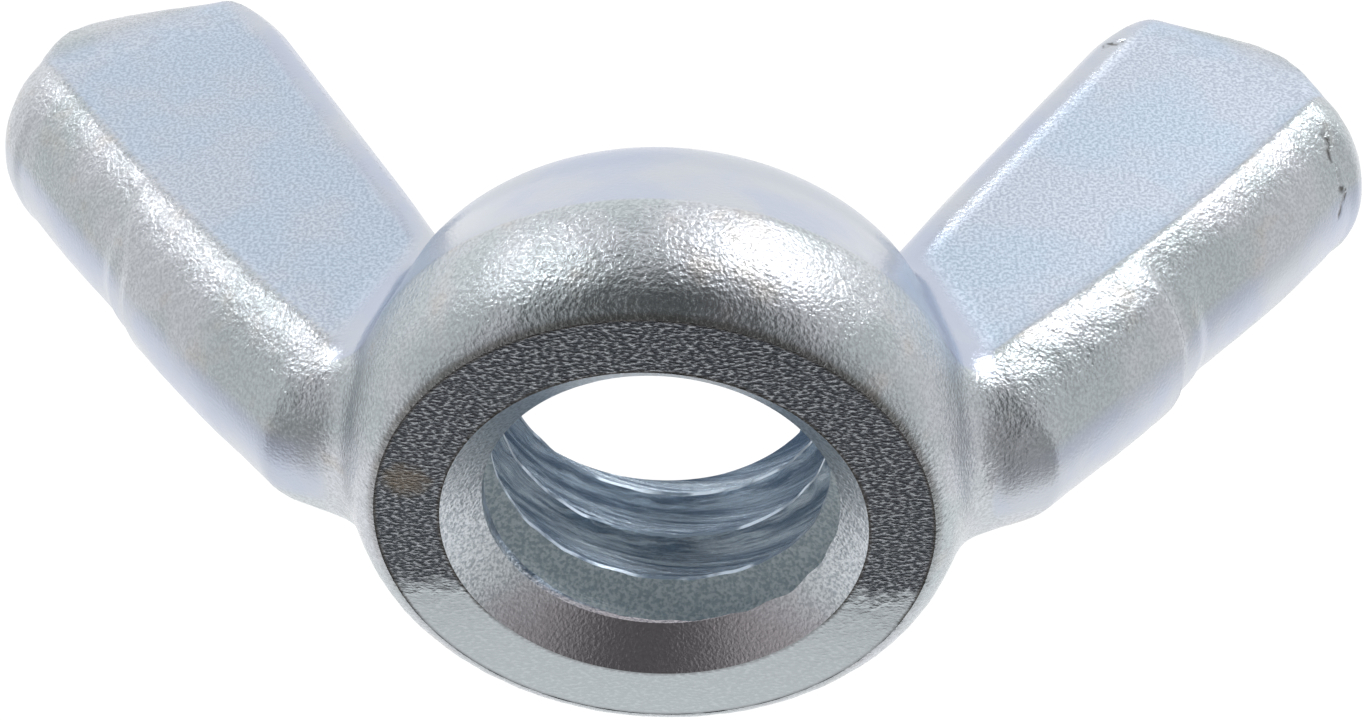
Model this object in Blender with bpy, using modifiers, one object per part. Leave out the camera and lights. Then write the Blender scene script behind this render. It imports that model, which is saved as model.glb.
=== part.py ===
"""Wing nut, American form, for a 1/2 in - 13 UNC bolt.

One cold-forged steel body: a barrel-shaped boss with a tapped, countersunk
hole, and two thick blades that rise from it. Metres, +Z up. The bearing face
is z = 0 and the thread axis is the Z axis, so the origin is the middle of the
face that rests on the work. The wings spread along X.
"""
import math

import bmesh
import bpy

MM = 0.001

# ---- thread: 1/2 in - 13 UNC, right hand --------------------------------
THREAD_MAJOR_D = 12.70          # nominal bolt diameter
THREAD_PITCH = 25.4 / 13.0      # 1.954
THREAD_DEPTH = 0.4862 * THREAD_PITCH                # class 2B mid size
THREAD_MINOR_D = THREAD_MAJOR_D - 2 * THREAD_DEPTH  # tapped hole, 10.8
ROOT_CLEARANCE = 0.10           # radial room past the bolt's crests
ROOT_FLAT = THREAD_PITCH / 8.0  # flat at the bottom of the groove
FLANK_HALF_ANGLE = 30.0         # degrees
THREAD_STEPS = 36               # segments in one turn

# ---- boss ---------------------------------------------------------------
BOSS_HEIGHT = 8.50              # bearing face to crown
FACE_D = 17.20                  # outer edge of the bearing face
BOSS_D = 20.00                  # widest part of the barrel
BOSS_WIDEST_Z = 3.70            # height of the widest line
SHOULDER_DROP = 0.70            # the side leans in this much above the widest line
BOSS_TOP_D = 15.00              # flat ring on the crown
SINK_PAST_THREAD = 0.45         # the countersink is this much wider than the bolt
COUNTERSINK_D = THREAD_MAJOR_D + SINK_PAST_THREAD   # at the bearing face
COUNTERSINK_HALF = 46.0         # degrees, measured from the axis
TOP_BREAK = 0.35                # small break of the hole's edge at the crown
BOSS_STEPS = 72

# ---- wings, measured in the XZ plane at the edge of the pressed flat ----
WING_T = 7.00                   # across the two flats
ROOT_LOW = (10.20, 4.60)        # crease above the rounded underside, at the boss
ROOT_HIGH = (8.20, 9.40)        # inner edge, at the boss
TIP_LOW = (22.10, 18.40)
TIP_HIGH = (15.65, 21.40)
UNDER_DEPTH = 3.10              # the rounded underside stands this far below the crease
TIP_DEPTH = 2.60                # the same, at the tip
INNER_DEPTH = 1.00              # the crowned inner edge stands this far past the flat
TIP_RUN = 4.00                  # the rounded tip runs this far past the flat
HEEL_RUN = 2.20                 # straight heel below the flat, running into the barrel
WING_BURIED = 5.50              # then the blade runs this far into the boss

EPS = 1.0                       # cutters run this far past the faces they cut


def clear_scene():
    for ob in list(bpy.data.objects):
        bpy.data.objects.remove(ob, do_unlink=True)
    for me in list(bpy.data.meshes):
        bpy.data.meshes.remove(me)


def collection(name, hidden=False):
    col = bpy.data.collections.new(name)
    bpy.context.scene.collection.children.link(col)
    col.hide_render = hidden
    return col


def material(name, colour, metallic, roughness):
    mat = bpy.data.materials.new(name)
    mat.use_nodes = True
    bsdf = mat.node_tree.nodes["Principled BSDF"]
    bsdf.inputs["Base Color"].default_value = (*colour, 1.0)
    bsdf.inputs["Metallic"].default_value = metallic
    bsdf.inputs["Roughness"].default_value = roughness
    mat.diffuse_color = (*colour, 1.0)
    return mat


def finish_mesh(bm, name, col):
    bmesh.ops.recalc_face_normals(bm, faces=bm.faces)
    me = bpy.data.meshes.new(name)
    bm.to_mesh(me)
    bm.free()
    ob = bpy.data.objects.new(name, me)
    col.objects.link(ob)
    if col.hide_render:
        ob.display_type = "WIRE"
        ob.hide_render = True
    return ob


def boolean(target, other, operation):
    mod = target.modifiers.new(operation.title() + " " + other.name, "BOOLEAN")
    mod.object = other
    mod.operation = operation
    mod.solver = "EXACT"
    return mod


def turned(name, profile, steps, col):
    """A closed solid of revolution about Z from (radius, z) points in mm, both ends on the axis."""
    bm = bmesh.new()
    rings = []
    for r, z in profile:
        if r < 1e-9:
            rings.append([bm.verts.new((0.0, 0.0, z * MM))])
        else:
            rings.append([
                bm.verts.new((r * math.cos(2 * math.pi * k / steps) * MM,
                              r * math.sin(2 * math.pi * k / steps) * MM, z * MM))
                for k in range(steps)])
    for lower, upper in zip(rings, rings[1:]):
        for k in range(steps):
            j = (k + 1) % steps
            if len(lower) == 1:
                bm.faces.new((lower[0], upper[k], upper[j]))
            elif len(upper) == 1:
                bm.faces.new((lower[k], lower[j], upper[0]))
            else:
                bm.faces.new((lower[k], lower[j], upper[j], upper[k]))
    return finish_mesh(bm, name, col)


def barrel_profile():
    """Bearing face, bulging side, crown: (radius, z) in mm."""
    face_r, wide_r, top_r = FACE_D / 2, BOSS_D / 2, BOSS_TOP_D / 2
    start = math.radians(20.0)          # the bulge leaves the bearing face at a sharp edge
    across = (wide_r - face_r) / (1 - math.sin(start))
    up = BOSS_WIDEST_Z / math.cos(start)
    points = [(0.0, 0.0)]
    for k in range(6):
        a = start + (math.pi / 2 - start) * k / 5
        points.append((wide_r - across * (1 - math.sin(a)), BOSS_WIDEST_Z - up * math.cos(a)))
    shoulder_r = wide_r - SHOULDER_DROP
    shoulder_z = BOSS_WIDEST_Z + 0.56 * (BOSS_HEIGHT - BOSS_WIDEST_Z)
    for k in range(5):                  # crown
        a = math.radians(22.5 * k)
        points.append((top_r + (shoulder_r - top_r) * math.cos(a),
                       shoulder_z + (BOSS_HEIGHT - shoulder_z) * math.sin(a)))
    points.append((0.0, BOSS_HEIGHT))
    return points


def unit(a, b):
    dx, dz = b[0] - a[0], b[1] - a[1]
    n = math.hypot(dx, dz)
    return dx / n, dz / n


def mix(a, b, t):
    return (a[0] + (b[0] - a[0]) * t, a[1] + (b[1] - a[1]) * t)


def wing_section(low, high, half_t, depth):
    """Closed loop of (x, y, z) in mm round one cross-section of the blade.

    Flattened arc below the low crease, two parallel flats, crowned inner edge."""
    along_low, along_high = unit(ROOT_LOW, TIP_LOW), unit(ROOT_HIGH, TIP_HIGH)
    down = (along_low[1], -along_low[0])
    inward = (-along_high[1], along_high[0])
    squeeze = half_t / (WING_T / 2)
    depth *= squeeze
    loop = []
    limit = math.radians(72.0)
    for k in range(-5, 6):                      # underside, from -Y crease to +Y crease
        a = limit * k / 5
        y = half_t * math.sin(a) / math.sin(limit)
        h = depth * (math.cos(a) - math.cos(limit)) / (1 - math.cos(limit))
        loop.append((low[0] + down[0] * h, y, low[1] + down[1] * h))
    for y, h in ((1.0, 0.0), (0.86, 0.62), (0.52, 1.0), (-0.52, 1.0), (-0.86, 0.62), (-1.0, 0.0)):
        h *= INNER_DEPTH * squeeze
        loop.append((high[0] + inward[0] * h, y * half_t, high[1] + inward[1] * h))
    return loop


def wing_mesh(name, col):
    """Both blades: one lofted through its cross-sections, one mirrored in the YZ plane."""
    half = WING_T / 2
    axis = unit(mix(ROOT_LOW, ROOT_HIGH, 0.5), mix(TIP_LOW, TIP_HIGH, 0.5))
    heel_low = (ROOT_LOW[0] - axis[0] * HEEL_RUN * 0.6, ROOT_LOW[1] - axis[1] * HEEL_RUN * 0.6)
    heel_high = (ROOT_HIGH[0] - axis[0] * HEEL_RUN, ROOT_HIGH[1] - axis[1] * HEEL_RUN)
    sections = [wing_section((heel_low[0] - WING_BURIED, heel_low[1] - 1.5),
                             (heel_high[0] - WING_BURIED, heel_high[1] - 0.8), half, 0.5 * UNDER_DEPTH),
                wing_section(heel_low, heel_high, half, 0.9 * UNDER_DEPTH)]
    for t in (0.0, 0.25, 0.5, 0.75, 1.0):
        sections.append(wing_section(mix(ROOT_LOW, TIP_LOW, t), mix(ROOT_HIGH, TIP_HIGH, t), half,
                                     UNDER_DEPTH + (TIP_DEPTH - UNDER_DEPTH) * t * t))
    for a in (22.0, 42.0, 60.0, 75.0, 90.0):    # rounded tip
        a = math.radians(a)
        run, pull = TIP_RUN * math.sin(a), 1 - math.cos(a)
        low, high = mix(TIP_LOW, TIP_HIGH, 0.36 * pull), mix(TIP_HIGH, TIP_LOW, 0.16 * pull)
        sections.append(wing_section((low[0] + axis[0] * run, low[1] + axis[1] * run),
                                     (high[0] + axis[0] * run, high[1] + axis[1] * run),
                                     half * (1 - 0.55 * pull), TIP_DEPTH))
    bm = bmesh.new()
    rings = [[bm.verts.new((x * MM, y * MM, z * MM)) for x, y, z in loop] for loop in sections]
    n = len(rings[0])
    for a, b in zip(rings, rings[1:]):
        for k in range(n):
            j = (k + 1) % n
            bm.faces.new((a[k], a[j], b[j], b[k]))
    bm.faces.new(rings[0])
    bm.faces.new(rings[-1])
    ob = finish_mesh(bm, name, col)
    mirror = ob.modifiers.new("Other wing", "MIRROR")
    mirror.use_axis = (True, False, False)
    mirror.use_mirror_merge = False
    return ob


def thread_cutter(name, col):
    """The groove between the crests: one helical bar, right hand, longer than the hole."""
    inner_r = THREAD_MINOR_D / 2 - 0.12 * THREAD_PITCH
    outer_r = THREAD_MAJOR_D / 2 + ROOT_CLEARANCE
    spread = math.tan(math.radians(FLANK_HALF_ANGLE)) * (outer_r - inner_r)
    half_root = ROOT_FLAT / 2
    section = [(inner_r, -half_root - spread), (outer_r, -half_root), (outer_r, half_root), (inner_r, half_root + spread)]
    z0 = -THREAD_PITCH - EPS
    turns = (BOSS_HEIGHT + 2 * (THREAD_PITCH + EPS)) / THREAD_PITCH
    count = int(math.ceil(turns * THREAD_STEPS))
    bm = bmesh.new()
    rings = []
    for k in range(count + 1):
        a = 2 * math.pi * k / THREAD_STEPS
        rise = z0 + THREAD_PITCH * k / THREAD_STEPS
        rings.append([bm.verts.new((r * math.cos(a) * MM, r * math.sin(a) * MM, (rise + z) * MM)) for r, z in section])
    for a, b in zip(rings, rings[1:]):
        for k in range(4):
            j = (k + 1) % 4
            bm.faces.new((a[k], a[j], b[j], b[k]))
    bm.faces.new(rings[0])
    bm.faces.new(rings[-1])
    return finish_mesh(bm, name, col)


def hole_profile():
    """Tap-drilled hole, countersink below, small break above: (radius, z) in mm."""
    minor_r = THREAD_MINOR_D / 2
    slope = math.tan(math.radians(COUNTERSINK_HALF))
    sink_r = COUNTERSINK_D / 2
    depth = (sink_r - minor_r) / slope
    return [(0.0, -EPS), (sink_r + EPS * slope, -EPS), (minor_r, depth),
            (minor_r, BOSS_HEIGHT - TOP_BREAK), (minor_r + TOP_BREAK + EPS, BOSS_HEIGHT + EPS), (0.0, BOSS_HEIGHT + EPS)]


def build():
    clear_scene()
    parts = collection("wing nut")
    cutters = collection("cutters", hidden=True)

    nut = turned("wing_nut", barrel_profile(), BOSS_STEPS, parts)
    boolean(nut, wing_mesh("wings", cutters), "UNION")
    boolean(nut, turned("hole", hole_profile(), BOSS_STEPS, cutters), "DIFFERENCE")
    boolean(nut, thread_cutter("thread groove", cutters), "DIFFERENCE")
    nut.data.materials.append(material("zinc plated forged steel", (0.62, 0.65, 0.70), 1.0, 0.35))


build()
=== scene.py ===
"""Wing nut, American form: zinc-plated cold-forged steel, seen from under its bearing face.

The blank is a barrel-shaped boss with two blades, joined and softened as a
forging. The bearing face, the hole, the countersink and the thread are then
cut into it, so that their edges stay crisp. Lengths are in millimetres until
the finished piece is brought to metres.
"""
import math

import bmesh
import bpy
import numpy as np
from mathutils import Matrix, Vector, noise


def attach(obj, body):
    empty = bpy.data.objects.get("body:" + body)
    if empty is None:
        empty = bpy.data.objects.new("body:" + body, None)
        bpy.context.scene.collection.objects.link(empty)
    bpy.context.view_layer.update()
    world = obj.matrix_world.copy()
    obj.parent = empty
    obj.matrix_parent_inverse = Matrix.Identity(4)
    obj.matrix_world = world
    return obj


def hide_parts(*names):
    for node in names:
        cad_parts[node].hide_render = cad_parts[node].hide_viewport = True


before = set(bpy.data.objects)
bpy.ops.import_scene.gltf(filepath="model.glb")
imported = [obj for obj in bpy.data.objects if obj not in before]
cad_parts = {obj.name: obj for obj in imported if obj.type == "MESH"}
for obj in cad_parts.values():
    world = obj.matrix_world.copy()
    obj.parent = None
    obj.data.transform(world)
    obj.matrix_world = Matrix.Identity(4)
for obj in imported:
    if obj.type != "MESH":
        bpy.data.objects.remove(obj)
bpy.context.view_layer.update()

TO_METRES = 0.001

# thread: 1/2 in - 13 UNC
PITCH = 25.4 / 13.0
HOLE_R = 5.40
GROOVE_R = 6.38
CREST_WIDTH = 0.14
SINK_R = 6.575
SINK_HALF_ANGLE = math.radians(46.0)
BOSS_HEIGHT = 8.50
CROWN_BREAK_R = 5.75
THREAD_START_ANGLE = math.radians(-110.0)
THREAD_START_Z = 0.55 * PITCH   # the groove leaves the inner edge of the countersink
RUN_OUT = 0.25          # turns
TORN_CREST = 0.09       # how far the torn edges of the crests wander

# boss
FACE_R = 8.60
WIDEST_R = 10.00
WIDEST_Z = 3.70
CROWN_R = 7.50
SHOULDER_DROP = 0.70
BULGE_START = 6.0       # degrees: how steeply the bulge leaves the bearing face
LIP = 0.03              # the forged end stands this proud of the bearing face, round its edge

# blades, in the XZ plane at the edge of the pressed flats
BLADE_HALF = 3.50
ROOT_LOW = Vector((10.20, 0.0, 4.60))
ROOT_HIGH = Vector((8.20, 0.0, 9.40))
TIP_LOW = Vector((22.10, 0.0, 18.40))
TIP_HIGH = Vector((15.65, 0.0, 21.40))
UNDER_BOW = 0.40        # the lower edge of a flat is this much curved
UNDER_DEPTH = 3.10
TIP_DEPTH = 2.60
INNER_DEPTH = 1.40
BLADE_LENGTH = (TIP_LOW - ROOT_LOW).length
ALONG_LOW = (TIP_LOW - ROOT_LOW).normalized()
ALONG_HIGH = (TIP_HIGH - ROOT_HIGH).normalized()
DOWN = Vector((ALONG_LOW.z, 0.0, -ALONG_LOW.x))         # out of a blade's underside
INWARD = Vector((-ALONG_HIGH.z, 0.0, ALONG_HIGH.x))     # towards the other blade
# the two blades were trimmed differently: how much shorter the lower edge is,
# how far the tip rounds over, and how far its outer corner is cut back
RIGHT_TIP = {"side": 1, "short": 0.70, "run": 3.45, "cut_back": 0.74}
LEFT_TIP = {"side": -1, "short": 0.15, "run": 3.74, "cut_back": 0.48}
TIP_CROWN = 0.62        # the end of a blade is this much convex

# what the dies and the trimming left on the skin
PRESSED_DEPTH = 0.09    # a flat lies this much below the ridge beside it
HAMMER_DEPTH = 0.018    # unevenness of the ridges and of the bulge
SKIN_GRID = 0.20        # size of the skin's faces
# folds that the trimming left open on the right tip
FOLDS = (((14.8, -3.5, 21.1), (15.5, -3.5, 21.6)), ((22.0, -3.1, 17.0), (22.7, -2.0, 16.2), (23.0, -0.6, 15.5)))
FOLD_WIDTH = 0.19
FOLD_WANDER = 0.45


def mesh_object(bm, name):
    bmesh.ops.recalc_face_normals(bm, faces=bm.faces)
    me = bpy.data.meshes.new(name)
    bm.to_mesh(me)
    bm.free()
    ob = bpy.data.objects.new(name, me)
    bpy.context.scene.collection.objects.link(ob)
    return ob


def chain(bm, points, closed=False):
    """A run of edges through points."""
    verts = [bm.verts.new(p) for p in points]
    pairs = list(zip(verts, verts[1:])) + ([(verts[-1], verts[0])] if closed else [])
    return verts, [bm.edges.new(p) for p in pairs]


def turned(name, profile, steps):
    """A closed body turned about Z from a profile that starts and ends on the axis."""
    bm = bmesh.new()
    verts, edges = chain(bm, [Vector((r, 0.0, z)) for r, z in profile])
    bmesh.ops.spin(bm, geom=verts + edges, cent=(0, 0, 0), axis=(0, 0, 1), angle=2 * math.pi,
                   steps=steps, use_merge=True)
    bmesh.ops.remove_doubles(bm, verts=bm.verts, dist=1e-4)
    return mesh_object(bm, name)


def applied(ob):
    """The object's mesh with its modifiers worked in."""
    graph = bpy.context.evaluated_depsgraph_get()
    me = bpy.data.meshes.new_from_object(ob.evaluated_get(graph))
    old = ob.data
    ob.modifiers.clear()
    ob.data = me
    bpy.data.meshes.remove(old)
    return ob


def boss_side():
    """(radius, z) up the outside of the boss, from the edge of the bearing face to the crown."""
    start = math.radians(BULGE_START)
    across = (WIDEST_R - FACE_R) / (1 - math.sin(start))
    rise = (WIDEST_Z + LIP) / math.cos(start)
    side = []
    for k in range(17):
        a = start + (math.pi / 2 - start) * k / 16
        side.append((WIDEST_R - across * (1 - math.sin(a)), WIDEST_Z - rise * math.cos(a)))
    shoulder_r = WIDEST_R - SHOULDER_DROP
    shoulder_z = WIDEST_Z + 0.56 * (BOSS_HEIGHT - WIDEST_Z)
    for k in range(13):
        a = math.radians(7.5 * k)
        side.append((CROWN_R + (shoulder_r - CROWN_R) * math.cos(a),
                     shoulder_z + (BOSS_HEIGHT - shoulder_z) * math.sin(a)))
    return side


def boss_blank():
    side = boss_side()
    return turned("boss blank", [(0.0, side[0][1])] + side + [(0.0, BOSS_HEIGHT)], 144)


def blade_section(low, high, half, depth):
    """Points round one cross-section: rounded underside, two flats, crowned inner edge."""
    squeeze = half / BLADE_HALF
    limit = math.radians(72.0)
    loop = []
    for k in range(-10, 11):
        a = limit * k / 10
        h = depth * squeeze * (math.cos(a) - math.cos(limit)) / (1 - math.cos(limit))
        loop.append(low + DOWN * h + Vector((0.0, half * math.sin(a) / math.sin(limit), 0.0)))
    for k in range(13):
        t = k / 12
        y = half * math.copysign(min(1.0, 1.12 * abs(1 - 2 * t) ** 0.62), 1 - 2 * t)
        h = INNER_DEPTH * squeeze * (1 - abs(1 - 2 * t) ** 3)
        loop.append(high + INWARD * h + Vector((0.0, y, 0.0)))
    return loop


def blade_blank(side, short, run, cut_back):
    """One blade, bridged through its cross-sections from inside the boss to the tip."""
    axis = ((TIP_LOW + TIP_HIGH) / 2 - (ROOT_LOW + ROOT_HIGH) / 2).normalized()
    heel_low, heel_high = ROOT_LOW - axis * 1.32, ROOT_HIGH - axis * 2.2
    tip_low = TIP_LOW - ALONG_LOW * short
    sections = [blade_section(heel_low + Vector((-5.5, 0, -1.5)), heel_high + Vector((-5.5, 0, -0.8)), BLADE_HALF, 0.4 * UNDER_DEPTH),
                blade_section(heel_low, heel_high, BLADE_HALF, 0.70 * UNDER_DEPTH)]
    for t in (0.0, 0.2, 0.4, 0.6, 0.8, 1.0):
        low = ROOT_LOW.lerp(tip_low, t) + DOWN * UNDER_BOW * 4 * t * (1 - t)
        sections.append(blade_section(low, ROOT_HIGH.lerp(TIP_HIGH, t), BLADE_HALF,
                                      UNDER_DEPTH - 0.7 * UNDER_BOW * 4 * t * (1 - t) + (TIP_DEPTH - UNDER_DEPTH) * t * t))
    for a in (12, 24, 36, 48, 60, 70, 80, 90):
        reach, pull = run * math.sin(math.radians(a)), 1 - math.cos(math.radians(a))
        low, high = tip_low.lerp(TIP_HIGH, cut_back * pull), TIP_HIGH.lerp(TIP_LOW, 0.03 * pull)
        sections.append(blade_section(low + axis * reach, high + axis * reach, BLADE_HALF * (1 - 0.30 * pull), TIP_DEPTH))
    bm = bmesh.new()
    loops = [chain(bm, s, closed=True) for s in sections]
    for (_, a), (_, b) in zip(loops, loops[1:]):
        bmesh.ops.bridge_loops(bm, edges=a + b)
    for verts, _ in (loops[0], loops[-1]):
        bm.faces.new(verts)
    bmesh.ops.scale(bm, vec=(side, 1, 1), verts=bm.verts)
    return mesh_object(bm, "blade blank")


def points_of(ob, what="co"):
    values = np.zeros(len(ob.data.vertices) * 3)
    ob.data.vertices.foreach_get(what, values)
    return values.reshape(-1, 3)


def ease(low, high, value):
    """0 at low, 1 at high, smooth between. low may be the larger."""
    t = np.clip((value - low) / (high - low), 0.0, 1.0)
    return t * t * (3 - 2 * t)


def soften(ob, weight, factor, repeats):
    """Relax the skin where weight is above 0."""
    group = ob.vertex_groups.new(name="soft")
    for index in np.nonzero(weight > 0.02)[0]:
        group.add([int(index)], float(weight[index]), "REPLACE")
    smooth = ob.modifiers.new("smooth", "SMOOTH")
    smooth.factor, smooth.iterations, smooth.vertex_group = factor, repeats, group.name
    applied(ob)
    ob.vertex_groups.clear()


def root_weight(co):
    """Where a blade grows out of the boss."""
    side = np.array(boss_side())
    radius = np.hypot(co[:, 0], co[:, 1])
    beyond = np.maximum(radius - np.interp(co[:, 2], side[:, 1], side[:, 0]), 0.0)
    beside = np.maximum(np.abs(co[:, 1]) - BLADE_HALF, 0.0)
    near = ease(2.2, 0.5, beyond) * ease(2.4, 0.6, beside)
    return near * (np.abs(co[:, 0]) > 5.5) * ease(0.3, 1.2, co[:, 2])


def blade_place(co):
    """Of each point, in mm: how far out along its blade, and how far inside the flat's lower and upper edges."""
    out_x, z = np.abs(co[:, 0]), co[:, 2]
    run = (out_x - ROOT_LOW.x) * ALONG_LOW.x + (z - ROOT_LOW.z) * ALONG_LOW.z
    share = np.clip(run / BLADE_LENGTH, 0.0, 1.0)
    over_low = -(out_x - ROOT_LOW.x) * DOWN.x - (z - ROOT_LOW.z) * DOWN.z + UNDER_BOW * 4 * share * (1 - share)
    under_high = -(out_x - ROOT_HIGH.x) * INWARD.x - (z - ROOT_HIGH.z) * INWARD.z
    return run, over_low, under_high


def pressed_weight(co, soft=0.34):
    """1 on the flat that the die pressed into each face of a blade."""
    run, over_low, under_high = blade_place(co)
    root = (ROOT_HIGH - ROOT_LOW).normalized()
    past_root = (np.abs(co[:, 0]) - ROOT_LOW.x) * root.z - (co[:, 2] - ROOT_LOW.z) * root.x
    return (ease(0.0, soft, over_low) * ease(-0.2, 0.3, under_high) * ease(-0.35, 0.6, past_root)
            * ease(BLADE_LENGTH + 2.4, BLADE_LENGTH + 0.6, run) * ease(2.7, 3.1, np.abs(co[:, 1])))


def trimmed_height(co, normal):
    """What the trimming left on the underside of each blade: a collar, then lower ground, then the end of the tip."""
    run, over_low, _ = blade_place(co)
    share, right = run / BLADE_LENGTH, co[:, 0] > 0
    facing = np.abs(normal[:, 0]) * DOWN.x + normal[:, 2] * DOWN.z
    under = ease(0.1, 0.75, facing) * ease(0.3, -0.6, over_low)
    front = np.clip(-co[:, 1] / BLADE_HALF, 0.0, 1.0)
    edge = np.where(right, 0.365 + 0.02 * front, 0.50 + 0.10 * ease(0.45, 1.0, front))
    second = np.where(right, 0.445, 0.575)
    height = 0.10 * ease(0.05, 0.30, share) * ease(edge + 0.012, edge - 0.012, share)
    height -= np.where(right, 0.16, 0.04) * ease(edge - 0.012, edge + 0.012, share) * ease(0.80, edge + 0.02, share)
    height -= np.where(right, 0.14, 0.10) * ease(second - 0.02, second + 0.02, share) * ease(0.95, 0.45, front) * ease(0.90, second + 0.02, share)
    height += np.where(right, 0.12, 0.06) * ease(0.955, 0.985, share)
    return height * under * (share > 0)


def fold_weight(co, normal):
    """1 on the skin along the folds, which wander."""
    weight = np.zeros(len(co))
    shifts = (Vector((0.0, 0.0, 0.0)), Vector((5.3, 0.0, 0.0)), Vector((0.0, 5.3, 0.0)))
    co = co + FOLD_WANDER * np.array([[noise.noise(Vector(p) * 1.6 + shift) for shift in shifts] for p in co])
    for line in FOLDS:
        for start, end in zip(line, line[1:]):
            along = np.subtract(end, start)
            share = np.clip((co - start) @ along / (along @ along), 0.0, 1.0)
            gap = co - start - share[:, None] * along
            off = (gap * normal).sum(axis=1)
            gap = np.linalg.norm(gap - normal * off[:, None], axis=1)
            weight = np.maximum(weight, ease(FOLD_WIDTH, 0.03, gap) * (np.abs(off) < 0.8))
    return weight


def hammered_weight(co):
    """1 on the ridges, the roots and the bulge; the flats, the boss above its widest line and the trimmed ground are smooth."""
    radius = np.hypot(co[:, 0], co[:, 1])
    on_blade = ease(10.0, 10.8, np.abs(co[:, 0])) * ease(4.4, 3.8, np.abs(co[:, 1]))
    boss = ease(WIDEST_Z + 0.25, WIDEST_Z - 0.15, co[:, 2])
    blade = (1 - pressed_weight(co, 0.15)) * ease(0.4, 2.4, np.abs(co[:, 1]))
    _, _, under_high = blade_place(co)
    blade = blade * ease(0.6, 1.6, under_high)
    return boss * (1 - on_blade) + blade * on_blade


def forged_blank():
    """Boss and blades as one skin, softened where the dies leave no sharp corner."""
    boss = boss_blank()
    for tip in (RIGHT_TIP, LEFT_TIP):
        blade = blade_blank(**tip)
        join = boss.modifiers.new("join", "BOOLEAN")
        join.object, join.operation, join.solver = blade, "UNION", "EXACT"
        applied(boss)
        bpy.data.objects.remove(blade)
    skin = boss.modifiers.new("skin", "REMESH")
    skin.mode, skin.voxel_size, skin.adaptivity = "VOXEL", SKIN_GRID, 0.0
    applied(boss)
    soften(boss, np.full(len(boss.data.vertices), 1.0), 0.5, 2)
    soften(boss, root_weight(points_of(boss)), 0.7, 60)
    co, normal = points_of(boss), points_of(boss, "normal")
    uneven = np.array([noise.noise(Vector(p) * 1.7) + 0.6 * noise.noise(Vector(p) * 3.6) for p in co])
    height = trimmed_height(co, normal) + HAMMER_DEPTH * uneven * hammered_weight(co)
    co += normal * height[:, None]
    co[:, 1] -= np.sign(co[:, 1]) * PRESSED_DEPTH * pressed_weight(co)
    run, over_low, under_high = blade_place(co)
    width = (TIP_HIGH - TIP_LOW).length
    across = np.clip(over_low / width, 0.0, 1.0)
    out = TIP_CROWN * 4 * across * (1 - across) * ease(BLADE_LENGTH, BLADE_LENGTH + 3.0, run)
    co[:, 0] += np.sign(co[:, 0]) * out * ALONG_LOW.x
    co[:, 2] += out * ALONG_LOW.z
    boss.data.vertices.foreach_set("co", co.ravel())
    boss.name = "forged_wing_nut"
    return boss


def hole_cutter():
    slope = math.tan(SINK_HALF_ANGLE)
    depth = (SINK_R - HOLE_R) / slope
    lip = CROWN_BREAK_R - HOLE_R
    return turned("hole cutter", [(0.0, -1.0), (SINK_R + slope, -1.0), (HOLE_R, depth), (HOLE_R, BOSS_HEIGHT - lip),
                                  (HOLE_R + lip + 0.05, BOSS_HEIGHT + 0.05), (HOLE_R + lip + 0.05, BOSS_HEIGHT + 1.0),
                                  (0.0, BOSS_HEIGHT + 1.0)], 192)


def thread_cutter():
    """The groove as one bar swept up a helix, rounded at its bottom."""
    half = (PITCH - CREST_WIDTH) / 2
    inside = 0.3
    points = [Vector((HOLE_R - inside, 0.0, -half))]
    for k in range(-7, 8):
        t = math.sin(math.radians(90.0 * k / 7))
        points.append(Vector((HOLE_R + (GROOVE_R - HOLE_R) * (1 - abs(t) ** 2.6), 0.0, half * t)))
    points.append(Vector((HOLE_R - inside, 0.0, half)))
    steps, turns = 128, 5
    start = Matrix.Rotation(THREAD_START_ANGLE, 3, "Z")
    bm = bmesh.new()
    verts, edges = chain(bm, [start @ (p + Vector((0, 0, THREAD_START_Z))) for p in points], closed=True)
    first = bm.faces.new(verts)
    bmesh.ops.spin(bm, geom=[first], cent=(0, 0, 0), axis=(0, 0, 1), angle=2 * math.pi * turns,
                   dvec=(0, 0, PITCH / steps), steps=steps * turns, use_duplicate=False)
    for v in bm.verts:
        radius = math.hypot(v.co.x, v.co.y)
        angle = (math.atan2(v.co.y, v.co.x) - THREAD_START_ANGLE) / (2 * math.pi)
        turn = angle + round((v.co.z - THREAD_START_Z) / PITCH - angle)
        if turn < RUN_OUT:      # the first part of the groove rises from nothing
            keep = 0.25 + 0.75 * max(turn, 0.0) / RUN_OUT
            shrunk = HOLE_R - inside + (radius - HOLE_R + inside) * keep
            v.co.x *= shrunk / radius
            v.co.y *= shrunk / radius
        if radius < HOLE_R + 0.45:
            v.co.z += TORN_CREST * noise.noise(Vector((v.co.x * 1.3, v.co.y * 1.3, v.co.z * 0.8)))
    bar = mesh_object(bm, "thread cutter")
    # the bar ends at the crown, clear of the blades' roots
    limit = turned("thread limit", [(0.0, 0.0), (CROWN_R, 0.0), (CROWN_R, BOSS_HEIGHT + 0.02), (0.0, BOSS_HEIGHT + 0.02)], 48)
    within = bar.modifiers.new("within", "BOOLEAN")
    within.object, within.operation, within.solver = limit, "INTERSECT", "EXACT"
    applied(bar)
    bpy.data.objects.remove(limit)
    return bar


def bearing_cutter():
    return turned("bearing cutter", [(0.0, -4.0), (FACE_R, -4.0), (FACE_R, 0.0), (0.0, 0.0)], 192)


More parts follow.
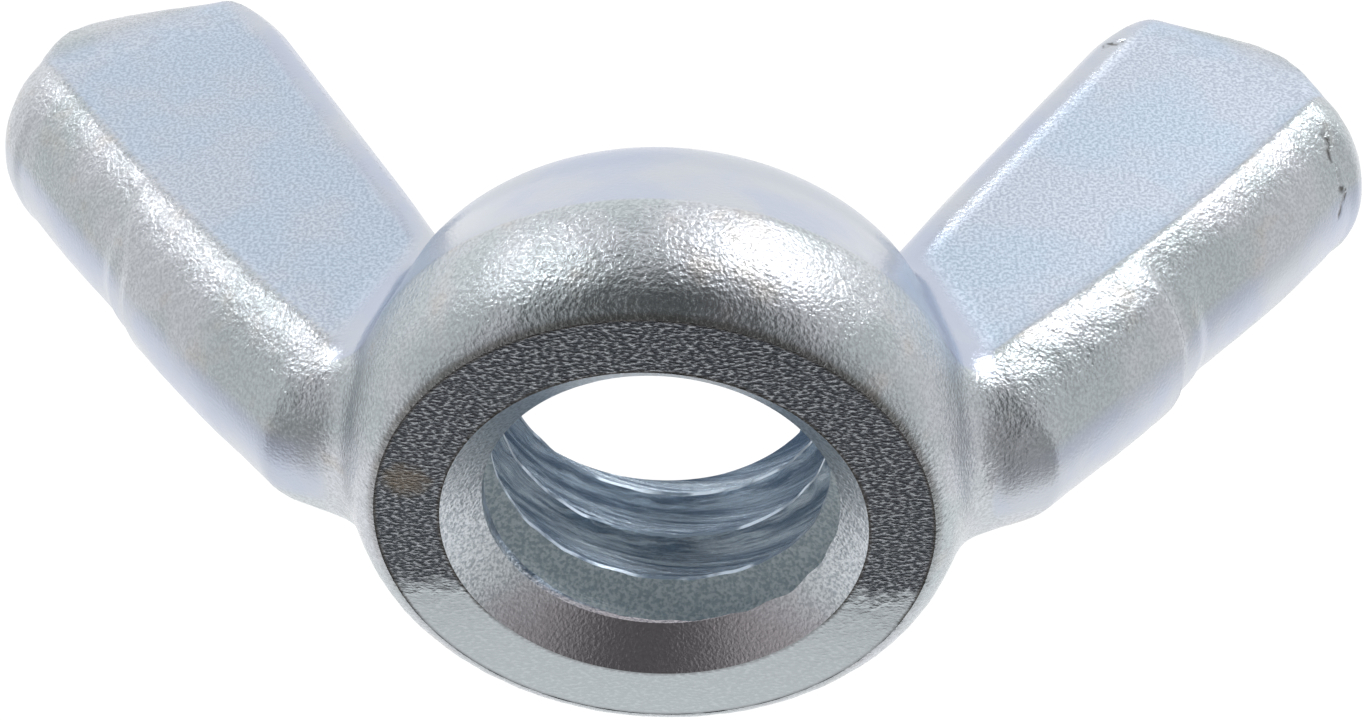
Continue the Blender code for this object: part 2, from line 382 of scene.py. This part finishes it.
def machined(ob, forged, faced, bored, tapped):
    """Cut the bearing face, the hole and the thread. Each cut leaves its own finish, and a sharp edge round it."""
    ob.data.materials.append(forged)
    for cutter, finish in ((bearing_cutter(), faced), (hole_cutter(), bored), (thread_cutter(), tapped)):
        cutter.data.materials.append(finish)
        cut = ob.modifiers.new(cutter.name, "BOOLEAN")
        cut.object, cut.operation, cut.solver, cut.material_mode = cutter, "DIFFERENCE", "EXACT", "TRANSFER"
        applied(ob)
        bpy.data.objects.remove(cutter)
    bm = bmesh.new()
    bm.from_mesh(ob.data)
    for edge in bm.edges:
        if len(edge.link_faces) == 2:
            a, b = edge.link_faces
            turn = edge.calc_face_angle(0.0)
            cut_edge = a.material_index != b.material_index and (1 in (a.material_index, b.material_index) or turn > math.radians(8.0))
            corner = a.material_index > 0 and turn > math.radians(28.0)
            edge.smooth = not (cut_edge or corner)
    for f in bm.faces:
        f.smooth = f.material_index != 1
    bm.to_mesh(ob.data)
    bm.free()
    return ob


def mark(ob, name, values):
    """Keep a number per vertex for the materials to read."""
    layer = ob.data.attributes.new(name, "FLOAT", "POINT")
    layer.data.foreach_set("value", np.ascontiguousarray(values, dtype=np.float32))


def lin(hexa):
    """sRGB hex to linear RGBA."""
    out = []
    for k in (0, 2, 4):
        c = int(hexa[k:k + 2], 16) / 255
        out.append(c / 12.92 if c <= 0.04045 else ((c + 0.055) / 1.055) ** 2.4)
    return (*out, 1.0)


def add(tree, kind, inputs=None, **settings):
    """One node with its settings. An input is a value, a socket, or a node whose first output is meant."""
    node = tree.nodes.new(kind)
    for key, value in settings.items():
        setattr(node, key, value)
    for name, source in (inputs or {}).items():
        socket = node.inputs[name] if isinstance(name, int) else next(i for i in node.inputs if i.enabled and i.name == name)
        if isinstance(source, bpy.types.Node):
            source = next(out for out in source.outputs if out.enabled)
        if isinstance(source, bpy.types.NodeSocket):
            tree.links.new(source, socket)
        else:
            socket.default_value = source
    return node


def metal(name):
    """A bare-metal material: its tree, its shader and the place on the piece in millimetres."""
    mat = bpy.data.materials.new(name)
    mat.use_nodes = True
    bsdf = mat.node_tree.nodes["Principled BSDF"]
    bsdf.inputs["Metallic"].default_value = 1.0
    where = add(mat.node_tree, "ShaderNodeTexCoord").outputs["Object"]
    return mat, mat.node_tree, bsdf, add(mat.node_tree, "ShaderNodeVectorMath", {"Vector": where, "Scale": 1 / TO_METRES}, operation="SCALE")


def finish(tree, bsdf, colour, height, roughness=None):
    """Wire a colour, a height in millimetres and perhaps a roughness into the shader."""
    # a bump node measures height in metres
    bump = add(tree, "ShaderNodeBump", {"Strength": 1.0, "Distance": TO_METRES, "Height": height})
    tree.links.new(bump.outputs["Normal"], bsdf.inputs["Normal"])
    tree.links.new(colour.outputs[2], bsdf.inputs["Base Color"])
    if roughness:
        tree.links.new(roughness.outputs[0], bsdf.inputs["Roughness"])


RAMP = {"interpolation_type": "SMOOTHSTEP"}
BLEND = {"data_type": "RGBA"}


def plated_steel():
    """Zinc electroplate with clear chromate on forged steel.

    The plate follows the forging: dimpled like hammered metal on the ridges and the bulge, matt with a
    fine sparkle on the pressed flats. The chromate gives a weak play of lilac, blue and straw.
    """
    mat, tree, bsdf, place = metal("zinc plated forging")
    pressed = add(tree, "ShaderNodeAttribute", attribute_name="pressed").outputs["Fac"]
    hammered = add(tree, "ShaderNodeAttribute", attribute_name="hammered").outputs["Fac"]
    fold = add(tree, "ShaderNodeAttribute", attribute_name="fold").outputs["Fac"]
    xyz = add(tree, "ShaderNodeSeparateXYZ", {"Vector": place})
    cloud = add(tree, "ShaderNodeTexNoise", {"Vector": place, "Scale": 1 / 3.6, "Detail": 3.0})
    tint = add(tree, "ShaderNodeTexNoise", {"Vector": place, "Scale": 1 / 1.7, "Detail": 2.0})
    fine = add(tree, "ShaderNodeTexNoise", {"Vector": place, "Scale": 1 / 0.11, "Detail": 3.0})
    torn = add(tree, "ShaderNodeTexNoise", {"Vector": place, "Scale": 1 / 0.13, "Detail": 3.0, "Roughness": 0.6})
    dimple = add(tree, "ShaderNodeTexVoronoi", {"Vector": place, "Scale": 1 / 0.14})
    dent = add(tree, "ShaderNodeTexNoise", {"Vector": place, "Scale": 1 / 0.5, "Detail": 2.0})

    # ridges and bulge: cool grey with a little straw
    patch = add(tree, "ShaderNodeMapRange", {"Value": cloud, "From Min": 0.40, "From Max": 0.62}, **RAMP)
    ridge = add(tree, "ShaderNodeMix", {"Factor": patch, "A": lin("C2CACE"), "B": lin("D0D4DA")}, **BLEND)
    straw = add(tree, "ShaderNodeMapRange", {"Value": tint, "From Min": 0.55, "From Max": 0.75, "To Max": 0.5}, **RAMP)
    ridge = add(tree, "ShaderNodeMix", {"Factor": straw, "A": ridge, "B": lin("CFCAC4")}, **BLEND)
    speck = add(tree, "ShaderNodeMapRange", {"Value": fine, "From Min": 0.38, "From Max": 0.62}, **RAMP)
    shade = add(tree, "ShaderNodeMix", {"Factor": speck, "A": lin("EAEAEA"), "B": lin("FFFFFF")}, **BLEND)
    ridge = add(tree, "ShaderNodeMix", {"Factor": 1.0, "A": ridge, "B": shade}, blend_type="MULTIPLY", **BLEND)
    # flats: blue and lilac, speckled
    blue = add(tree, "ShaderNodeMix", {"Factor": speck, "A": lin("ABBACB"), "B": lin("CAD7E6")}, **BLEND)
    lilac = add(tree, "ShaderNodeMix", {"Factor": speck, "A": lin("B0B9C8"), "B": lin("D0D8E4")}, **BLEND)
    flat = add(tree, "ShaderNodeMix", {"Factor": patch, "A": blue, "B": lilac}, **BLEND)
    # the barrel above its widest line and the trimmed undersides are smooth and lilac
    plain = add(tree, "ShaderNodeMix", {"Factor": patch, "A": lin("BCC3D3"), "B": lin("C5CAD2")}, **BLEND)
    smooth = add(tree, "ShaderNodeMapRange", {"Value": hammered, "From Min": 0.6, "From Max": 0.1}, **RAMP)
    colour = add(tree, "ShaderNodeMix", {"Factor": smooth, "A": ridge, "B": plain}, **BLEND)
    colour = add(tree, "ShaderNodeMix", {"Factor": pressed, "A": colour, "B": flat}, **BLEND)
    # painted shade: a faint dark line in the crease round each flat
    rest = add(tree, "ShaderNodeMath", {0: 1.0, 1: pressed}, operation="SUBTRACT")
    crease_shade = add(tree, "ShaderNodeMath", {0: rest, 1: pressed}, operation="MULTIPLY")
    crease_shade = add(tree, "ShaderNodeMath", {0: crease_shade, 1: hammered}, operation="MULTIPLY")
    colour = add(tree, "ShaderNodeMix", {"Factor": crease_shade, "A": colour, "B": lin("7F878F")}, **BLEND)
    # painted shade: a brown line along the step where the bulge meets the bearing face, strongest at the front
    front = add(tree, "ShaderNodeMapRange", {"Value": xyz.outputs["Y"], "From Min": 3.0, "From Max": -5.0, "To Min": 0.15, "To Max": 0.6})
    rim_shade = add(tree, "ShaderNodeMapRange", {"Value": xyz.outputs["Z"], "From Min": 0.13, "From Max": 0.01, "To Max": front}, **RAMP)
    colour = add(tree, "ShaderNodeMix", {"Factor": rim_shade, "A": colour, "B": lin("6A635C")}, **BLEND)

    # painted shade inside the folds, in short lengths
    broken = add(tree, "ShaderNodeMapRange", {"Value": dent, "From Min": 0.42, "From Max": 0.54, "To Min": 0.15, "To Max": 0.9}, **RAMP)
    fold_shade = add(tree, "ShaderNodeMapRange", {"Value": fold, "From Min": 0.3, "From Max": 0.9, "To Max": broken})
    colour = add(tree, "ShaderNodeMix", {"Factor": fold_shade, "A": colour, "B": lin("4C4A49")}, **BLEND)

    rough = add(tree, "ShaderNodeMapRange", {"Value": tint, "From Min": 0.3, "From Max": 0.7, "To Min": 0.16, "To Max": 0.26})
    matt = add(tree, "ShaderNodeMapRange", {"Value": fine, "From Min": 0.35, "From Max": 0.65, "To Min": 0.34, "To Max": 0.50})
    rough = add(tree, "ShaderNodeMix", {"Factor": pressed, "A": rough, "B": matt})

    # dimples of about 0.2 mm; the grain of about 0.05 mm is drawn at 0.1 mm, as fine as it can show
    lumps = add(tree, "ShaderNodeMath", {0: dimple, 1: 0.45, 2: torn}, operation="MULTIPLY_ADD")
    deep = add(tree, "ShaderNodeMapRange", {"Value": hammered, "To Max": 0.030})
    # the ridges of the blades are dented more coarsely, about 0.5 mm
    outward = add(tree, "ShaderNodeMath", {0: xyz.outputs["X"]}, operation="ABSOLUTE")
    ridged = add(tree, "ShaderNodeMapRange", {"Value": outward, "From Min": 9.5, "From Max": 12.0, "To Max": 1.3}, **RAMP)
    lumps = add(tree, "ShaderNodeMath", {0: dent, 1: ridged, 2: lumps}, operation="MULTIPLY_ADD")
    grain = add(tree, "ShaderNodeMath", {0: fine, 1: 0.014}, operation="MULTIPLY")
    grain = add(tree, "ShaderNodeMath", {0: fold, 1: -0.04, 2: grain}, operation="MULTIPLY_ADD")
    height = add(tree, "ShaderNodeMath", {0: lumps, 1: deep, 2: grain}, operation="MULTIPLY_ADD")
    finish(tree, bsdf, colour, height, rough)
    return mat


def faced_steel():
    """Zinc plate on a sheared and faced end: a dark grain of short torn streaks, darker at both edges with painted
    shade of the step at the outer one, one brown stain.
    """
    mat, tree, bsdf, place = metal("zinc plated bearing face")
    xyz = add(tree, "ShaderNodeSeparateXYZ", {"Vector": place})
    wander = add(tree, "ShaderNodeTexNoise", {"Vector": place, "Scale": 1 / 0.55, "Detail": 3.0})
    streaked = add(tree, "ShaderNodeMapping", {"Vector": place, "Scale": (0.6, 1.2, 1.0), "Rotation": (0.0, 0.0, 0.47)})
    grain = add(tree, "ShaderNodeTexNoise", {"Vector": streaked, "Scale": 1 / 0.11, "Detail": 4.0})
    # the torn grain stops at a wandering line; past it the face is smooth
    edge = add(tree, "ShaderNodeMath", {0: wander, 1: 1.6, 2: xyz.outputs["Y"]}, operation="MULTIPLY_ADD")
    torn = add(tree, "ShaderNodeMapRange", {"Value": edge, "From Min": 3.9, "From Max": 2.9}, **RAMP)
    speck = add(tree, "ShaderNodeMapRange", {"Value": grain, "From Min": 0.46, "From Max": 0.66}, **RAMP)
    dark = add(tree, "ShaderNodeMix", {"Factor": speck, "A": lin("4E5258"), "B": lin("B4B8BD")}, **BLEND)
    clean = add(tree, "ShaderNodeMix", {"Factor": speck, "A": lin("B7BEC2"), "B": lin("C4CBCF")}, **BLEND)
    colour = add(tree, "ShaderNodeMix", {"Factor": torn, "A": clean, "B": dark}, **BLEND)
    radius = add(tree, "ShaderNodeVectorMath", {0: add(tree, "ShaderNodeVectorMath", {0: place, 1: (1.0, 1.0, 0.0)}, operation="MULTIPLY")},
                 operation="LENGTH").outputs["Value"]
    ragged = add(tree, "ShaderNodeMath", {0: grain, 1: 0.22, 2: radius}, operation="MULTIPLY_ADD")
    # both edges are darker; at the outer edge this is painted shade of the step where the forged end stands proud of
    # the face
    edge_darkening = add(tree, "ShaderNodeMapRange", {"Value": edge, "From Min": 5.6, "From Max": 4.2, "To Min": 0.4, "To Max": 0.9}, **RAMP)
    outer_step_shade = add(tree, "ShaderNodeMapRange", {"Value": ragged, "From Min": FACE_R - 0.02, "From Max": FACE_R + 0.10, "To Max": edge_darkening}, **RAMP)
    inner = add(tree, "ShaderNodeMapRange", {"Value": ragged, "From Min": SINK_R + 0.26, "From Max": SINK_R + 0.12, "To Max": edge_darkening}, **RAMP)
    for share in (outer_step_shade, inner):
        colour = add(tree, "ShaderNodeMix", {"Factor": share, "A": colour, "B": lin("4E4A47")}, **BLEND)
    spot = add(tree, "ShaderNodeVectorMath", {0: place, 1: (-7.48, -1.97, 0.0)}, operation="DISTANCE").outputs["Value"]
    spot = add(tree, "ShaderNodeMath", {0: wander, 1: 0.9, 2: spot}, operation="MULTIPLY_ADD")
    stain = add(tree, "ShaderNodeMapRange", {"Value": spot, "From Min": 1.35, "From Max": 0.75, "To Max": 0.65}, **RAMP)
    colour = add(tree, "ShaderNodeMix", {"Factor": stain, "A": colour, "B": lin("85796A")}, **BLEND)
    rough = add(tree, "ShaderNodeMapRange", {"Value": torn, "To Min": 0.06, "To Max": 0.16})
    deep = add(tree, "ShaderNodeMapRange", {"Value": torn, "To Min": 0.0012, "To Max": 0.050})
    height = add(tree, "ShaderNodeMath", {0: wander, 1: 0.003}, operation="MULTIPLY")
    height = add(tree, "ShaderNodeMath", {0: grain, 1: deep, 2: height}, operation="MULTIPLY_ADD")
    finish(tree, bsdf, colour, height, rough)
    return mat


def bored_steel():
    """Zinc plate in a drilled countersink: fine scratches across it, darker and lilac-brown at one side, partly a tint
    and partly painted shade.
    """
    mat, tree, bsdf, place = metal("zinc plated countersink")
    bsdf.inputs["Roughness"].default_value = 0.28
    xyz = add(tree, "ShaderNodeSeparateXYZ", {"Vector": place})
    cloud = add(tree, "ShaderNodeTexNoise", {"Vector": place, "Scale": 1 / 1.1, "Detail": 3.0})
    grain = add(tree, "ShaderNodeTexNoise", {"Vector": place, "Scale": 1 / 0.11, "Detail": 3.0})
    drawn = add(tree, "ShaderNodeMapping", {"Vector": place, "Scale": (1.0, 1.0, 0.12)})
    scratch = add(tree, "ShaderNodeTexNoise", {"Vector": drawn, "Scale": 1 / 0.09, "Detail": 2.0})
    speck = add(tree, "ShaderNodeMapRange", {"Value": grain, "From Min": 0.36, "From Max": 0.60}, **RAMP)
    colour = add(tree, "ShaderNodeMix", {"Factor": speck, "A": lin("ADB5BB"), "B": lin("DAE0E5")}, **BLEND)
    # darker and lilac-brown towards +Y: partly a tint, partly painted shade of the hole's own side
    low = add(tree, "ShaderNodeMath", {0: cloud, 1: 1.5, 2: xyz.outputs["Y"]}, operation="MULTIPLY_ADD")
    tarnish_and_shade = add(tree, "ShaderNodeMapRange", {"Value": low, "From Min": 3.4, "From Max": 5.8, "To Max": 0.8}, **RAMP)
    colour = add(tree, "ShaderNodeMix", {"Factor": tarnish_and_shade, "A": colour, "B": lin("B3ABB0")}, **BLEND)
    # painted highlights and shade, broken into dashes, on the crests of the thread past the countersink
    broken = add(tree, "ShaderNodeTexNoise", {"Vector": place, "Scale": 1 / 1.5, "Detail": 4.0})
    broken = add(tree, "ShaderNodeMapRange", {"Value": broken, "From Min": 0.44, "From Max": 0.60}, **RAMP)
    crest_glint_colour = add(tree, "ShaderNodeMix", {"Factor": broken, "A": lin("667482"), "B": lin("C0CDDA")}, **BLEND)
    past = add(tree, "ShaderNodeMapRange", {"Value": xyz.outputs["Z"], "From Min": 1.25, "From Max": 1.40}, **RAMP)
    colour = add(tree, "ShaderNodeMix", {"Factor": past, "A": colour, "B": crest_glint_colour}, **BLEND)
    height = add(tree, "ShaderNodeMath", {0: scratch, 1: 0.012}, operation="MULTIPLY")
    height = add(tree, "ShaderNodeMath", {0: grain, 1: 0.024, 2: height}, operation="MULTIPLY_ADD")
    finish(tree, bsdf, colour, height)
    return mat


def tapped_steel():
    """Zinc plate in a tapped thread: bluish, drawn out in fine lines along the helix, matt and mottled in its first turn."""
    mat, tree, bsdf, place = metal("zinc plated thread")
    xyz = add(tree, "ShaderNodeSeparateXYZ", {"Vector": place})
    angle = add(tree, "ShaderNodeMath", {0: xyz.outputs["Y"], 1: xyz.outputs["X"]}, operation="ARCTAN2")
    lead = add(tree, "ShaderNodeMath", {0: xyz.outputs["Z"], 1: 2 * math.pi / PITCH}, operation="MULTIPLY")
    phase = add(tree, "ShaderNodeMath", {0: lead, 1: angle}, operation="SUBTRACT")
    across = add(tree, "ShaderNodeCombineXYZ", {"X": add(tree, "ShaderNodeMath", {0: phase}, operation="SINE"),
                                                "Y": add(tree, "ShaderNodeMath", {0: phase}, operation="COSINE")})
    drift = add(tree, "ShaderNodeVectorMath", {"Vector": place, "Scale": 0.16}, operation="SCALE")
    along = add(tree, "ShaderNodeVectorMath", {0: across, 1: drift}, operation="ADD")
    line = add(tree, "ShaderNodeTexNoise", {"Vector": along, "Scale": 2.6, "Detail": 6.0, "Roughness": 0.68})
    grain = add(tree, "ShaderNodeTexNoise", {"Vector": place, "Scale": 1 / 0.14, "Detail": 3.0})
    light = add(tree, "ShaderNodeMapRange", {"Value": line, "From Min": 0.38, "From Max": 0.62}, **RAMP)
    colour = add(tree, "ShaderNodeMix", {"Factor": light, "A": lin("8495A8"), "B": lin("DCE8F2")}, **BLEND)
    speck = add(tree, "ShaderNodeMapRange", {"Value": grain, "From Min": 0.38, "From Max": 0.62}, **RAMP)
    mottled = add(tree, "ShaderNodeMix", {"Factor": speck, "A": lin("C2D0D6"), "B": lin("F2F9FB")}, **BLEND)
    first = add(tree, "ShaderNodeMapRange", {"Value": phase, "From Min": 10.8, "From Max": 10.0}, **RAMP)
    colour = add(tree, "ShaderNodeMix", {"Factor": first, "A": colour, "B": mottled}, **BLEND)
    rough = add(tree, "ShaderNodeMapRange", {"Value": first, "To Min": 0.27, "To Max": 0.48})
    # the bloom on the first turn is not metal
    bare = add(tree, "ShaderNodeMapRange", {"Value": first, "To Min": 1.0, "To Max": 0.30})
    tree.links.new(bare.outputs[0], bsdf.inputs["Metallic"])
    drawn = add(tree, "ShaderNodeMath", {0: line, 1: 0.085}, operation="MULTIPLY")
    deep = add(tree, "ShaderNodeMapRange", {"Value": first, "To Min": 0.012, "To Max": 0.045})
    height = add(tree, "ShaderNodeMath", {0: grain, 1: deep, 2: drawn}, operation="MULTIPLY_ADD")
    finish(tree, bsdf, colour, height, rough)
    return mat


# ---- the piece ------------------------------------------------------------
nut = machined(forged_blank(), plated_steel(), faced_steel(), bored_steel(), tapped_steel())
skin = points_of(nut)
mark(nut, "pressed", pressed_weight(skin, 0.2))
mark(nut, "hammered", hammered_weight(skin))
mark(nut, "fold", fold_weight(skin, points_of(nut, "normal")))
nut.data.transform(Matrix.Scale(TO_METRES, 4))
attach(nut, "root")
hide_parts("wing_nut")
print("triangles", sum(len(p.vertices) - 2 for p in nut.data.polygons))

# ---- camera: close, from below and in front, turned a little to the right --
AZIMUTH, ELEVATION, ROLL = math.radians(3.614), math.radians(-48.0), math.radians(4.005)
STAND_OFF, ASIDE, ABOVE = 0.075, -0.000902, -0.005249
back = Vector((math.sin(AZIMUTH) * math.cos(ELEVATION), -math.cos(AZIMUTH) * math.cos(ELEVATION), math.sin(ELEVATION)))
level = Vector((0, 0, 1)).cross(back).normalized()
upright = back.cross(level)
right = level * math.cos(ROLL) + upright * math.sin(ROLL)
up = upright * math.cos(ROLL) - level * math.sin(ROLL)
lens = bpy.data.cameras.new("camera")
lens.lens, lens.sensor_width, lens.clip_start = 64.59, 36.0, 0.005
camera = bpy.data.objects.new("camera", lens)
turn = Matrix((right, up, back)).transposed().to_4x4()
camera.matrix_world = Matrix.Translation(back * STAND_OFF - right * ASIDE - up * ABOVE) @ turn
bpy.context.scene.collection.objects.link(camera)
bpy.context.scene.camera = camera


def studio_direction(b, u, r):
    return (back * b + up * u + right * r).normalized()


# ---- light: a bright tent with a dark opening for the camera -----------------
REAR, FRONT, BELOW, SIDES, OPENING = 1.06, 0.70, 0.42, 0.76, 0.13     # brightness of the tent's parts
world = bpy.data.worlds.new("studio")
bpy.context.scene.world = world
world.use_nodes = True
tree = world.node_tree
where = add(tree, "ShaderNodeTexCoord").outputs["Generated"]
to_back, to_up, to_right = (add(tree, "ShaderNodeVectorMath", {0: where, 1: axis}, operation="DOT_PRODUCT").outputs["Value"]
                            for axis in (back, up, right))
aside = add(tree, "ShaderNodeMath", {0: to_right}, operation="ABSOLUTE")
share = add(tree, "ShaderNodeMapRange", {"Value": to_back, "From Min": -0.15, "From Max": 0.15}, **RAMP)
level = add(tree, "ShaderNodeMix", {"Factor": share, "A": REAR, "B": FRONT})
# low in front of the piece it is dim
share = add(tree, "ShaderNodeMapRange", {"Value": to_back, "From Min": 0.0, "From Max": 0.30}, **RAMP)
share = add(tree, "ShaderNodeMapRange", {"Value": to_up, "From Min": 0.0, "From Max": -0.3, "To Max": share}, **RAMP)
level = add(tree, "ShaderNodeMix", {"Factor": share, "A": level, "B": BELOW})
# the two sides
share = add(tree, "ShaderNodeMapRange", {"Value": to_up, "From Min": -0.75, "From Max": -0.40}, **RAMP)
share = add(tree, "ShaderNodeMapRange", {"Value": aside, "From Min": 0.78, "From Max": 0.96, "To Max": share}, **RAMP)
level = add(tree, "ShaderNodeMix", {"Factor": share, "A": level, "B": SIDES})
# the opening, an ellipse a little above the camera's own direction
across = add(tree, "ShaderNodeMath", {0: to_right, 1: 0.64}, operation="DIVIDE")
high = add(tree, "ShaderNodeMapRange", {"Value": to_up, "From Min": 0.18, "From Max": 0.80}, clamp=False)
spot = add(tree, "ShaderNodeVectorMath", {0: add(tree, "ShaderNodeCombineXYZ", {"X": high, "Y": across})}, operation="LENGTH").outputs["Value"]
share = add(tree, "ShaderNodeMapRange", {"Value": to_back, "From Min": -0.02, "From Max": 0.08}, **RAMP)
share = add(tree, "ShaderNodeMapRange", {"Value": spot, "From Min": 1.3, "From Max": 0.7, "To Max": share}, **RAMP)
level = add(tree, "ShaderNodeMix", {"Factor": share, "A": level, "B": OPENING})
# the gap below it
share = add(tree, "ShaderNodeMapRange", {"Value": to_back, "From Min": 0.008, "From Max": 0.034}, **RAMP)
share = add(tree, "ShaderNodeMapRange", {"Value": aside, "From Min": 0.42, "From Max": 0.24, "To Max": share}, **RAMP)
share = add(tree, "ShaderNodeMapRange", {"Value": to_up, "From Min": -0.05, "From Max": -0.3, "To Max": share}, **RAMP)
level = add(tree, "ShaderNodeMix", {"Factor": share, "A": level, "B": OPENING})
# the camera sees a plain white ground
seen = add(tree, "ShaderNodeLightPath").outputs["Is Camera Ray"]
level = add(tree, "ShaderNodeMix", {"Factor": seen, "A": level, "B": 1.05})
shell = tree.nodes["Background"]
shell.inputs["Color"].default_value = (1, 1, 1, 1)
tree.links.new(level.outputs[0], shell.inputs["Strength"])


def softbox(name, direction, distance, width, height, power):
    light = bpy.data.lights.new(name, "AREA")
    light.shape, light.size, light.size_y, light.energy = "RECTANGLE", width, height, power
    ob = bpy.data.objects.new(name, light)
    ob.matrix_world = Matrix.Translation(direction * distance) @ direction.to_track_quat("Z", "Y").to_matrix().to_4x4()
    bpy.context.scene.collection.objects.link(ob)
    return ob


softbox("softbox right", studio_direction(0.16, 0.86, 0.49), 0.30, 0.14, 0.046, 0.19)
softbox("softbox left", studio_direction(0.22, 0.79, -0.56), 0.30, 0.055, 0.036, 0.080)

# ---- floor: pale, seen only from above, clear of the bearing face by 0.1 mm --
bm = bmesh.new()
bmesh.ops.create_grid(bm, x_segments=1, y_segments=1, size=0.6, matrix=Matrix.Translation((0, 0, -0.0001)))
floor = mesh_object(bm, "floor")
paper = bpy.data.materials.new("pale paper")
paper.use_nodes = True
tree = paper.node_tree
bsdf = tree.nodes["Principled BSDF"]
bsdf.inputs["Base Color"].default_value = lin("ECECEA")
bsdf.inputs["Roughness"].default_value = 0.9
behind = add(tree, "ShaderNodeNewGeometry").outputs["Backfacing"]
pick = add(tree, "ShaderNodeMixShader", {0: behind, 1: bsdf, 2: add(tree, "ShaderNodeBsdfTransparent")})
tree.links.new(pick.outputs[0], tree.nodes["Material Output"].inputs["Surface"])
floor.data.materials.append(paper)
floor.visible_glossy = False
floor.visible_shadow = False

bpy.context.scene.view_settings.view_transform = "Standard"
